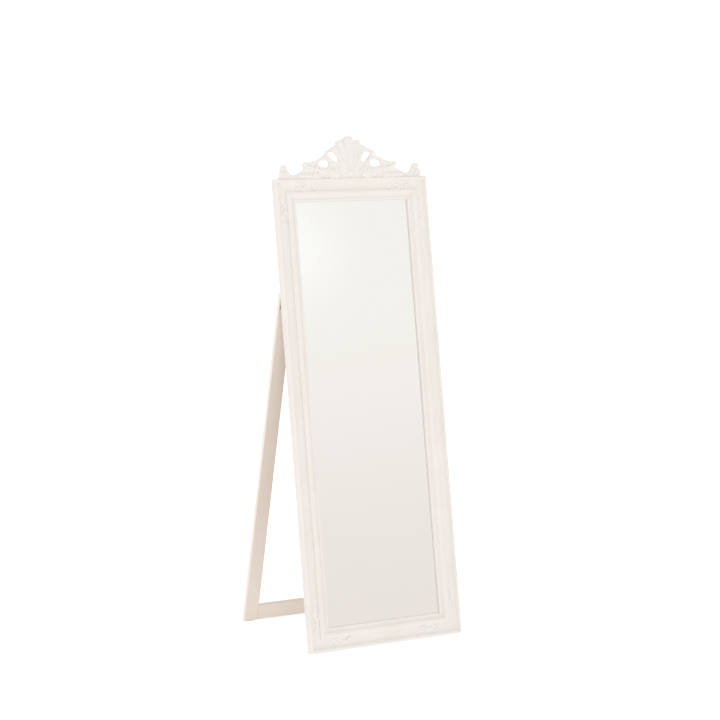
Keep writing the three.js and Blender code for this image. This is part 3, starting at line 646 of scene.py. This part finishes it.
class Carving:
    """Closed strips, knobs and plates, drawn as (x, z, v) with v forwards, fused into one piece.
    The strips' backs lie at foot, and nothing reaches lower than lowest."""

    def __init__(self, foot, lowest=None):
        self.foot = foot
        self.lowest = lowest
        self.hand = 1  # -1 draws everything mirrored about x = 0
        self.verts = []
        self.faces = []

    def add(self, verts, faces):
        """Adds a closed shape, mirrored if the hand says so."""
        start = len(self.verts)
        for x, z, v in verts:
            height = z if self.lowest is None else max(z, self.lowest)
            self.verts.append((x * self.hand, -v, height))
        self.faces.extend([[i + start for i in face] for face in faces])

    def strip(self, stations, profile):
        """A strip through the stations, round at both ends."""
        places, run = spaced(smooth_run(stations))
        along = unit(np.gradient(run[:, :2], axis=0))
        across = np.stack([along[:, 1], -along[:, 0]], axis=1)
        width = run[:, 2] * rounded_end(places[-1] - places, run[-1, 2])
        width = width * rounded_end(places, run[0, 2])
        width = np.maximum(width, LEAST_HALF)
        verts = []
        for middle, side, half, crown in zip(run[:, :2], across, width, run[:, 3]):
            fullness = min(1, THIN_SHARE + half / HEIGHT_GAINED_IN)
            lift = (crown - self.foot) * profile(STRIP_SIDES) * fullness
            top = middle + side * half * STRIP_SIDES[:, None]
            verts.append((*(middle - side * half), self.foot))
            verts.extend((x, z, self.foot + up) for (x, z), up in zip(top, lift))
            verts.append((*(middle + side * half), self.foot))
        ring = len(STRIP_SIDES) + 2
        last = (len(run) - 1) * ring
        faces = [list(range(ring)), list(range(last, last + ring))]
        for i in range(len(run) - 1):
            for j in range(ring):
                a, b = i * ring + j, i * ring + (j + 1) % ring
                faces.append([a, b, b + ring, a + ring])
        self.add(verts, faces)

    def leaf(self, midrib, pairs, reach, width):
        """An acanthus leaf: pairs of veined leaflets that turn outwards from a midrib."""
        _, run = spaced(smooth_run(midrib))
        last = len(run) - 1
        for i in range(pairs):
            t = LEAFLETS_FROM + LEAFLETS_OVER * i / pairs
            at = int(t * last)
            here = run[at]
            ahead = run[min(last, at + HEADING_STEPS)] - here
            heading = math.atan2(ahead[1], ahead[0])
            size = 1 - LEAF_TAPER * t
            for hand in (-1, 1):
                x, z = here[:2]
                stations = [(x, z, width * LEAFLET_ROOT * size, here[3] - LEAFLET_SUNK)]
                for turn, swell, drop in LEAFLET_STATIONS:
                    step = reach * size / len(LEAFLET_STATIONS)
                    x += step * math.cos(heading + hand * math.radians(turn))
                    z += step * math.sin(heading + hand * math.radians(turn))
                    stations.append((x, z, width * swell * size, here[3] - drop))
                self.strip(stations, veined)
        self.strip(midrib, domed)

    def volute(self, x, z, radius, start, turn, width, crown):
        """A rolled end: a band that winds in to an eye, turning by so many degrees."""
        stations = []
        for t in np.linspace(0, 1, VOLUTE_STATIONS):
            angle = math.radians(start + turn * t)
            out = radius * (1 - VOLUTE_WOUND * t)
            across = x + out * math.cos(angle)
            up = z + out * math.sin(angle)
            half = width * (1 - VOLUTE_TAPER * t)
            stations.append((across, up, half, crown + VOLUTE_RISE * t))
        self.strip(stations, domed)
        self.knob(x, z, crown - EYE_SUNK, width * EYE_SWELL, EYE_DEPTH)

    def knob(self, x, z, v, radius, depth):
        """An ellipsoid, radius across and depth from front to back."""
        rows, columns = KNOB_ROWS, KNOB_COLUMNS
        verts = [(x, z, v + depth)]
        for i in range(1, rows):
            polar = math.pi * i / rows
            flat = radius * math.sin(polar)
            height = v + depth * math.cos(polar)
            for j in range(columns):
                turn = 2 * math.pi * j / columns
                verts.append((x + flat * math.cos(turn), z + flat * math.sin(turn), height))
        verts.append((x, z, v - depth))
        last = len(verts) - 1
        faces = []
        for j in range(columns):
            k = (j + 1) % columns
            faces.append([0, 1 + j, 1 + k])
            faces.append([last, last - columns + k, last - columns + j])
            for i in range(rows - 2):
                a, b = 1 + i * columns + j, 1 + i * columns + k
                faces.append([a, a + columns, b + columns, b])
        self.add(verts, faces)

    def plate(self, outline, openings, back, front):
        """A flat plate with openings through it."""
        loops = [outline, *openings]
        flat = [(x, z) for loop in loops for x, z in loop]
        triangles = tessellate_polygon([[Vector((x, z, 0)) for x, z in loop] for loop in loops])
        count = len(flat)
        verts = [(x, z, back) for x, z in flat] + [(x, z, front) for x, z in flat]
        faces = [list(t) for t in triangles]
        faces += [[c + count, b + count, a + count] for a, b, c in triangles]
        start = 0
        for loop in loops:
            for i in range(len(loop)):
                a, b = start + i, start + (i + 1) % len(loop)
                faces.append([a, b, b + count, a + count])
            start += len(loop)
        self.add(verts, faces)

    def fused(self, name, placement):
        """Everything drawn, as one smoothed surface."""
        piece = new_object(name, self.verts, self.faces, placement)
        fuse = piece.modifiers.new("fuse", "REMESH")
        fuse.mode = "VOXEL"
        fuse.voxel_size = CARVING_VOXEL * MM
        soften = piece.modifiers.new("soften", "SMOOTH")
        soften.factor = SOFTENING
        soften.iterations = SOFTENING_ROUNDS
        keep_modifiers(piece)
        set_relief(piece.data, surface_relief(piece.data, CARVING_VOXEL * MM))
        thin = piece.modifiers.new("thin", "DECIMATE")
        thin.ratio = FACES_KEPT
        keep_modifiers(piece)
        piece.data.shade_smooth()
        return piece


RELIEF_ROUNDS = 10
RELIEF_GAIN = 1.6


def surface_relief(mesh, spacing):
    """-1 in a groove and +1 on a ridge: how far smoothing would move each vertex, along its
    normal, in spacings."""
    count = len(mesh.vertices)
    places = np.empty(count * 3)
    mesh.vertices.foreach_get("co", places)
    places = places.reshape(-1, 3)
    normals = np.empty(count * 3)
    mesh.vertices.foreach_get("normal", normals)
    normals = normals.reshape(-1, 3)
    ends = np.empty(len(mesh.edges) * 2, int)
    mesh.edges.foreach_get("vertices", ends)
    first, second = ends.reshape(-1, 2).T
    neighbours = np.bincount(first, minlength=count) + np.bincount(second, minlength=count)
    neighbours = np.maximum(neighbours, 1)
    smooth = places.copy()
    for _ in range(RELIEF_ROUNDS):
        total = np.zeros_like(smooth)
        for axis in range(3):
            total[:, axis] = np.bincount(first, smooth[second, axis], count)
            total[:, axis] += np.bincount(second, smooth[first, axis], count)
        smooth = total / neighbours[:, None]
    offset = ((places - smooth) * normals).sum(axis=1)
    return offset / spacing * RELIEF_GAIN


# ---- Leaf sprays ---------------------------------------------------------------------------
# One lies in the hollow of the moulding at each end of each side. It is drawn on the left-hand
# upright from its lower end: x from the outer edge, and z up from the corner.
SPRAY_FOOT = 11  # from the frame's back
SPRAY_SCROLL = [
    (31, 76, 2.6, 19),
    (34, 84, 4.4, 21),
    (33.5, 94, 5.2, 22),
    (27, 108, 5.2, 22),
    (23.5, 123, 4.8, 21.5),
    (26, 137, 4, 21.5),
    (33, 144, 3.2, 21),
    (37.5, 139, 2.6, 20.5),
]
SPRAY_LEAFLETS = [
    [(32, 84, 2, 19.5), (27, 75, 3.6, 20.5), (23, 67, 3, 19.5), (22, 59, 0.9, 16.5)],
    [(34, 84, 2, 20), (38, 76, 3.4, 21.5), (39.5, 69, 2.6, 21), (38, 62, 0.9, 18)],
    [(29, 84, 2.4, 20), (22, 90, 4.2, 21), (17, 99, 3.2, 20), (15.5, 108, 1.1, 17)],
    [(33, 94, 2.4, 20.5), (37, 104, 4.2, 22), (38.5, 115, 3.2, 21.5), (36.5, 124, 1.1, 19)],
    [(25, 108, 2.2, 20), (18.5, 118, 3.8, 20.5), (16.5, 129, 2.8, 19.5), (18.5, 139, 1, 16.5)],
    [(26, 132, 2, 20), (21.5, 143, 3.3, 20), (22.5, 153, 2.5, 19), (28, 162, 0.9, 16.5)],
]
SPRAY_BEADS = [(33.5, 137, 4.6, 16.5), (31.5, 79, 3.8, 15.5)]  # x, z, radius and middle's height
BEAD_DEPTH = 6


def spray(name, placement, way):
    """A spray for a side's start, or with way -1 the one for its end, where it is mirrored."""
    made = Carving(SPRAY_FOOT)
    strips = [(SPRAY_SCROLL, cupped)]
    strips += [(leaflet, veined) for leaflet in SPRAY_LEAFLETS]
    for stations, profile in strips:
        made.strip([(x, way * z, half, crown) for x, z, half, crown in stations], profile)
    for x, z, radius, height in SPRAY_BEADS:
        made.knob(x, way * z, height, radius, BEAD_DEPTH)
    piece = made.fused(f"{name}_carved", placement)
    finished(piece, "frame", "carving_paint", "paint_carving", name)


def sprays():
    for k, (side, _, ends, _, _, length) in enumerate(SIDES):
        placement = side_placement(k)
        spray(f"spray_{side}_{ends[0]}", placement, 1)
        spray(f"spray_{side}_{ends[1]}", placement @ Matrix.Translation((0, 0, length)), -1)


# ---- Crest ---------------------------------------------------------------------------------
# Drawn from the middle of the top rail's upper edge: x to the right and z up. The right half of
# its outline and openings is given, and the left is its mirror image.
CREST_OUTLINE = [
    (256, -4), (255, 3), (252, 14), (248, 25), (248, 36), (241, 43), (231, 42), (224, 33), (219, 22),
    (203, 14), (190, 18), (172, 27), (163, 34), (169, 42), (163, 49), (152, 46), (139, 50),
    (125, 54), (111, 60), (97, 68), (88, 75), (87, 83), (79, 87), (67, 92), (60, 99),
    (50, 103), (45, 108), (44, 116), (34, 121), (22, 119), (18, 122), (15, 130), (0, 132.5),
]
SHELL_SIDE_OPENING = [
    (40, 54), (39, 67), (49, 80), (63, 83), (76, 81), (77, 73), (66, 62), (54, 53),
]
SCROLL_OPENING = [
    (73, 50), (82, 57), (94, 58), (108, 52), (115, 42), (110, 34), (90, 32), (76, 39),
]
PLATE_EDGE_IN = 1.6
OUTLINE_STEPS = 3
OPENING_STEPS = 4

# The shell's lobes: x at the root, x and z at the tip, half width and crown. The first is the
# middle one, and each of the others has its like on the other side.
SHELL_LOBES = [
    (0, 0, 132, 16.5, 29.5),
    (7, 35, 119, 12.5, 29),
    (13, 55, 99.5, 10.5, 28.4),
    (14, 34, 60, 6.5, 27),
]
SHELL_ROOT = 14  # z where the lobes start
LOBE_SWEEP = 3  # how far a side lobe bows inwards
# How far along a lobe, and the share of its half width and the change of its crown there.
LOBE_STATIONS = [
    (0, 0.3, -5),
    (0.25, 0.42, -3.5),
    (0.5, 0.62, -2.2),
    (0.75, 0.9, -0.8),
    (0.9, 1, 0),
    (1, 0.86, -1),
]
SHELL_BOSS = (0, 15, 18, 12, 8.8)  # x, z, middle's height, radius and depth


def closed_run(points):
    """A smooth closed curve through the points."""
    looped = smooth_run([points[-1], *points, points[0], points[1]], OPENING_STEPS)
    return looped[OPENING_STEPS : -OPENING_STEPS - 1]


def drawn_in(outline, distance):
    """The closed outline moved inwards, so that the carving on it overhangs its edge."""
    before = outline - np.roll(outline, 1, axis=0)
    after = np.roll(outline, -1, axis=0) - outline
    along = unit(before) + unit(after)
    inward = np.stack([-along[:, 1], along[:, 0]], axis=1)
    return outline + unit(inward) * distance


def crest_plate(made):
    right = smooth_run(CREST_OUTLINE, OUTLINE_STEPS)
    left = right[:-1][::-1] * (-1, 1)
    outline = drawn_in(np.vstack([right, left]), PLATE_EDGE_IN)
    openings = []
    for opening in (SHELL_SIDE_OPENING, SCROLL_OPENING):
        hole = closed_run(opening)
        openings += [hole, hole[::-1] * (-1, 1)]
    made.plate(outline, openings, CREST_BACK, CREST_FIELD)


def shell(made):
    """Fluted lobes that fan out from a boss and end in round tips."""
    for root, tip_x, tip_z, half, crown in SHELL_LOBES:
        for hand in (-1, 1) if root else (1,):
            stations = []
            for t, width, rise in LOBE_STATIONS:
                sweep = LOBE_SWEEP * math.sin(math.pi * t) if root else 0
                x = hand * (root + (tip_x - root) * t - sweep)
                z = SHELL_ROOT + (tip_z - SHELL_ROOT) * t
                stations.append((x, z, half * width, crown + rise))
            made.strip(stations, fluted)
    made.knob(*SHELL_BOSS)


# What is alike on both sides: bands, rolled ends, leaves and the end finials.
CREST_BANDS = [
    [(48, 91, 3.2, 25), (58, 88, 4.0, 26), (69, 88.5, 4.4, 26.5), (79, 85.5, 4.4, 26.5)],
    [(30, 14, 5, 25.5), (44, 24, 6.4, 26.5), (57, 38, 6.4, 26.5), (67, 52, 5.6, 26), (80, 66, 5, 25.5)],
    [
        (80, 72, 4.6, 25.5),
        (98, 63.5, 5, 26),
        (118, 53.5, 5.4, 26),
        (138, 47.5, 5.2, 26),
        (152, 48, 4.4, 26.5),
    ],
    [(108, 34, 3, 24.5), (116, 42, 3.6, 25), (112, 52, 3.4, 24.5)],
]
# x, z, radius, start and turn in degrees, half width and crown
CREST_VOLUTES = [
    (159, 43, 7.5, 150, -400, 3.2, 26),
    (80, 79, 6.5, 80, -400, 2.9, 26),
    (237.5, 33.5, 9.2, 200, -430, 3.6, 26.5),
]
# midrib, pairs of leaflets, their reach and half width
CREST_LEAVES = [
    ([(36, 8, 4, 27), (76, 15, 4.2, 27.5), (116, 26, 3.6, 27.5), (150, 37, 2.4, 26)], 6, 30, 5.6),
    ([(112, 2, 3, 25.5), (142, 6, 3.6, 26), (176, 7, 3, 25.5), (207, 5, 1.8, 24.5)], 6, 21, 3.9),
]
END_FINIAL = [
    [(214, 2, 4, 25), (219, 11, 6, 26), (225, 21, 6.6, 26.5), (232, 29, 5, 26)],
    [(251, 2, 3.4, 25), (250, 13, 4.2, 26), (246.5, 25, 4.2, 26.5)],
    [(234, 2, 4.6, 25), (237, 12, 5.6, 26.5), (240, 23, 4.6, 26.8)],
]


def crest():
    made = Carving(CREST_FIELD - CREST_UNDERCUT, CREST_FOOT)
    crest_plate(made)
    for hand in (-1, 1):
        made.hand = hand
        for stations in CREST_BANDS:
            made.strip(stations, cupped)
        for rolled_end in CREST_VOLUTES:
            made.volute(*rolled_end)
        for leaf in CREST_LEAVES:
            made.leaf(*leaf)
        for stations in END_FINIAL:
            made.strip(stations, veined)
    made.hand = 1
    shell(made)
    placement = PANEL @ Matrix.Translation((0, 0, FRAME_HEIGHT))
    piece = made.fused("crest_carved", placement)
    finished(piece, "frame", "carving_paint", "paint_carving", "crest")


# ---- Glass ---------------------------------------------------------------------------------
def mirror_glass():
    half = FRAME_WIDTH / 2 - GLASS_INSET
    low, high = GLASS_INSET, FRAME_HEIGHT - GLASS_INSET
    corners = [(-half, low), (half, low), (half, high), (-half, high)]
    verts = [(x, -SILVER_FRONT, z) for x, z in corners] + [(x, -SILVER_BACK, z) for x, z in corners]
    faces = [(0, 1, 2, 3), (7, 6, 5, 4), (0, 4, 5, 1), (1, 5, 6, 2), (2, 6, 7, 3), (3, 7, 4, 0)]
    piece = new_object("mirror_glass_silvered", verts, faces, PANEL)
    finished(piece, "frame", "mirror", "mirror", "mirror_glass")


# ---- CAD nodes that stay --------------------------------------------------------------------
# How each node's name starts, its material, and how far its edges are eased.
STAYING = [
    ("backing_board", "hardboard", 0),
    ("glazier_point", "glazing_steel", 0.15),
    ("mitre_wedge", "glazing_steel", 0),
    ("crest_dowel", "dowel_wood", 0.5),
    ("frame_screw", "zinc_steel", 0.15),
    ("leg_screw", "zinc_steel", 0.15),
    ("hinge_leaf", "zinc_steel", 0.25),
    ("hinge_pin", "zinc_steel", 0.2),
    ("frame_glide", "felt", 0.3),
    ("leg_glide", "felt", 0.3),
    ("leg_stile", "leg_upright", 0.8),
    ("leg_rail", "leg_across", 1.2),
]
EASED_SEGMENTS = 3
EASED_FROM = math.radians(40)  # edges that turn by more than this are eased


def keep_cad_nodes():
    for name, piece in frame["nodes"].items():
        for start, material, bevel in STAYING:
            if not name.startswith(start):
                continue
            piece.data.materials.clear()
            piece.data.materials.append(MATERIALS[material])
            if bevel:
                weld = piece.modifiers.new("weld", "WELD")
                weld.merge_threshold = WELD
                ease = piece.modifiers.new("ease", "BEVEL")
                ease.width = bevel * MM
                ease.segments = EASED_SEGMENTS
                ease.limit_method = "ANGLE"
                ease.angle_limit = EASED_FROM
                ease.harden_normals = True


# ---- Camera, light and floor ---------------------------------------------------------------
def camera():
    data = bpy.data.cameras.new("camera")
    data.lens = CAMERA_LENS
    data.sensor_width = CAMERA_SENSOR
    data.dof.use_dof = False
    made = bpy.data.objects.new("camera", data)
    made.location = CAMERA_PLACE
    made.rotation_euler = (math.pi / 2 - CAMERA_PITCH, 0, -CAMERA_YAW)
    scene.collection.objects.link(made)
    scene.camera = made


# What the glass shows: the studio's wall, from the horizon's height, at 0, to overhead, at 1.
# It is darkest low down and brightest a little way up. A brighter patch stands on one side.
WALL = [
    (0.00, colour(0.83, 0.776, 0.73)),
    (0.045, colour(0.848, 0.80, 0.752)),
    (0.09, colour(0.88, 0.83, 0.792)),
    (0.138, colour(0.928, 0.88, 0.852)),
    (0.17, colour(0.935, 0.91, 0.868)),
    (0.25, colour(0.93, 0.91, 0.87)),
    (0.45, colour(0.92, 0.90, 0.87)),
    (1.00, colour(0.86, 0.85, 0.84)),
]
PATCH = colour(1.02, 1.01, 0.995)
PATCH_DIRECTION = (0.448, -0.868, 0.212)
PATCH_REACH = 0.045
DIFFUSE_SHARE = 0.91  # of the wall's light that falls on the object; lamps give the rest
BACKDROP = 1.1  # how bright the white behind the object is


def world():
    made = bpy.data.worlds.new("studio")
    made.use_nodes = True
    scene.world = made
    tree = made.node_tree
    tree.nodes.clear()

    def node(kind, **properties):
        new = tree.nodes.new(kind)
        for key, value in properties.items():
            setattr(new, key, value)
        return new

    def background(value, strength):
        new = node("ShaderNodeBackground")
        for socket, given in (("Color", value), ("Strength", strength)):
            if isinstance(given, bpy.types.NodeSocket):
                tree.links.new(given, new.inputs[socket])
            else:
                new.inputs[socket].default_value = given
        return new.outputs[0]

    direction = node("ShaderNodeTexCoord").outputs["Generated"]
    split = node("ShaderNodeSeparateXYZ")
    tree.links.new(direction, split.inputs[0])
    ramp = node("ShaderNodeValToRGB")
    stops = ramp.color_ramp.elements
    stops[0].color = WALL[0][1]
    stops[-1].color = WALL[-1][1]
    for position, value in WALL[1:-1]:
        stops.new(position).color = value
    tree.links.new(split.outputs["Z"], ramp.inputs[0])

    away = node("ShaderNodeVectorMath", operation="DISTANCE")
    tree.links.new(direction, away.inputs[0])
    away.inputs[1].default_value = PATCH_DIRECTION
    near = node("ShaderNodeMapRange", interpolation_type="SMOOTHSTEP")
    tree.links.new(away.outputs["Value"], near.inputs[0])
    for socket, value in ((1, 0), (2, PATCH_REACH), (3, 1), (4, 0)):
        near.inputs[socket].default_value = value
    patched = node("ShaderNodeMix", data_type="RGBA")
    tree.links.new(near.outputs[0], patched.inputs[0])
    tree.links.new(ramp.outputs[0], patched.inputs[6])
    patched.inputs[7].default_value = PATCH

    ray = node("ShaderNodeLightPath")
    share = node("ShaderNodeMapRange")
    tree.links.new(ray.outputs["Is Diffuse Ray"], share.inputs[0])
    share.inputs[3].default_value = 1
    share.inputs[4].default_value = DIFFUSE_SHARE
    either = node("ShaderNodeMixShader")
    tree.links.new(ray.outputs["Is Camera Ray"], either.inputs[0])
    tree.links.new(background(patched.outputs[2], share.outputs[0]), either.inputs[1])
    tree.links.new(background(colour(1, 1, 1), BACKDROP), either.inputs[2])
    output = node("ShaderNodeOutputWorld")
    tree.links.new(either.outputs[0], output.inputs["Surface"])


# Name, place, what it faces, width and height in metres, and watts.
SOFTBOXES = [
    ("key", (-3.2, -6.4, 1.4), (0, 0, 0.7), (4, 2.6), 52),
    ("fill", (4.6, -5.2, 1.4), (0, 0, 0.7), (3, 2.6), 25),
    ("side", (-6.8, 0.6, 1.2), (0, 0, 0.6), (3, 2.2), 31),
]


def softbox(name, place, target, size, power):
    data = bpy.data.lights.new(name, "AREA")
    data.shape = "RECTANGLE"
    data.size, data.size_y = size
    data.energy = power
    made = bpy.data.objects.new(name, data)
    made.location = place
    made.rotation_euler = (Vector(target) - Vector(place)).to_track_quat("-Z", "Y").to_euler()
    made.visible_glossy = False
    made.visible_camera = False
    scene.collection.objects.link(made)


FLOOR_REACH = 40  # metres
FLOOR_GLOW = 0.22  # what the floor gives back of a bright studio's light
FLOOR_GLOW_SEEN = 0.5  # to the camera, so that the floor runs into the background


def floor():
    far = FLOOR_REACH
    verts = [(-far, -far, 0), (far, -far, 0), (far, far, 0), (-far, far, 0)]
    made = new_object("floor", verts, [(0, 1, 2, 3)], Matrix.Identity(4))
    finish = Finish("pale_floor", Roughness=0.7)
    clouds = finish.noise((0.8, 0.8, 0.8), detail=2)
    tone = finish.mix(clouds, colour(0.92, 0.915, 0.91), colour(0.95, 0.95, 0.95))
    finish.drive("Base Color", tone)
    finish.shader.inputs["Emission Color"].default_value = colour(1, 1, 1)
    seen = finish.node("ShaderNodeLightPath").outputs["Is Camera Ray"]
    finish.drive("Emission Strength", finish.ramp(seen, 0, 1, FLOOR_GLOW, FLOOR_GLOW_SEEN))
    made.data.materials.append(finish.material)


def view_settings():
    scene.view_settings.view_transform = "Standard"
    scene.view_settings.look = "None"


camera()
world()
for lamp in SOFTBOXES:
    softbox(*lamp)
floor()
view_settings()
for side_number in range(len(SIDES)):
    moulding(side_number)
sprays()
crest()
mirror_glass()
keep_cad_nodes()
